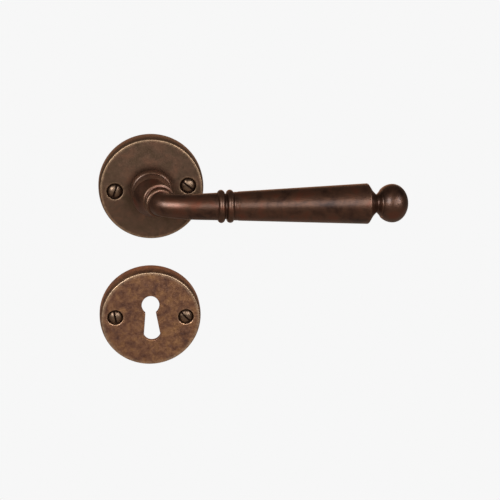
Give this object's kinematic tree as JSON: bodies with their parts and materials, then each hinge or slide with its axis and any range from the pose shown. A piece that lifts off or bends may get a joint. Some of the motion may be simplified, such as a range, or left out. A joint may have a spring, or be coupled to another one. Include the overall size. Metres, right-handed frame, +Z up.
{
  "type": "door lever handle",
  "caption": "Door lever handle with a ball end on a round sprung rose, with a matching round keyhole cover, in dark browned bronze.",
  "frame": {"origin": "on the spindle's axis where it meets the door's face, at the back of the rose", "axes": "+X along the lever's arm towards the ball, +Y along the spindle into the door, +Z up"},
  "size_m": [0.1477, 0.0962, 0.1204],
  "materials": {
    "lever_bronze": "browned cast bronze, dark, waxed, edges worn lighter",
    "rose_bronze": "browned cast bronze, dark grey-brown, satin",
    "keyhole_cover_bronze": "browned cast bronze, mottled, satin",
    "screw_bronze": "browned bronze screw, worn bright on the high spots",
    "plate_steel": "zinc-plated steel sheet",
    "plate_screw_steel": "zinc-plated steel",
    "stop_pin_steel": "turned steel",
    "bush_brass": "turned brass",
    "washer_steel": "rolled steel",
    "driver_steel": "stamped steel",
    "clip_steel": "black oxide spring steel",
    "spring_steel": "drawn spring wire",
    "spindle_steel": "drawn square steel, zinc plated",
    "grub_steel": "black oxide steel"
  },
  "bodies": {
    "root": {"rose_cover": "rose_bronze", "keyhole_cover": "keyhole_cover_bronze", "rose_screw_left": "screw_bronze", "rose_screw_right": "screw_bronze", "keyhole_screw_left": "screw_bronze", "keyhole_screw_right": "screw_bronze", "rose_back_plate": "plate_steel", "plate_screw_top": "plate_screw_steel", "plate_screw_bottom": "plate_screw_steel", "stop_pin_rest": "stop_pin_steel", "stop_pin_end": "stop_pin_steel", "neck_bush": "bush_brass", "return_spring": "spring_steel"},
    "lever": {"lever_handle": "lever_bronze", "thrust_washer": "washer_steel", "spring_driver": "driver_steel", "retaining_clip": "clip_steel", "spindle": "spindle_steel", "grub_screw": "grub_steel"}
  },
  "joints": [
    {"name": "lever_turn", "type": "hinge", "parent": "root", "child": "lever", "pos_m": [0, 0, 0], "axis": [0, 1, 0], "range_deg": [0, 45], "stiffness_Nm_per_rad": 0.8, "springref_deg": -25.78, "deforming": ["return_spring"]}
  ]
}
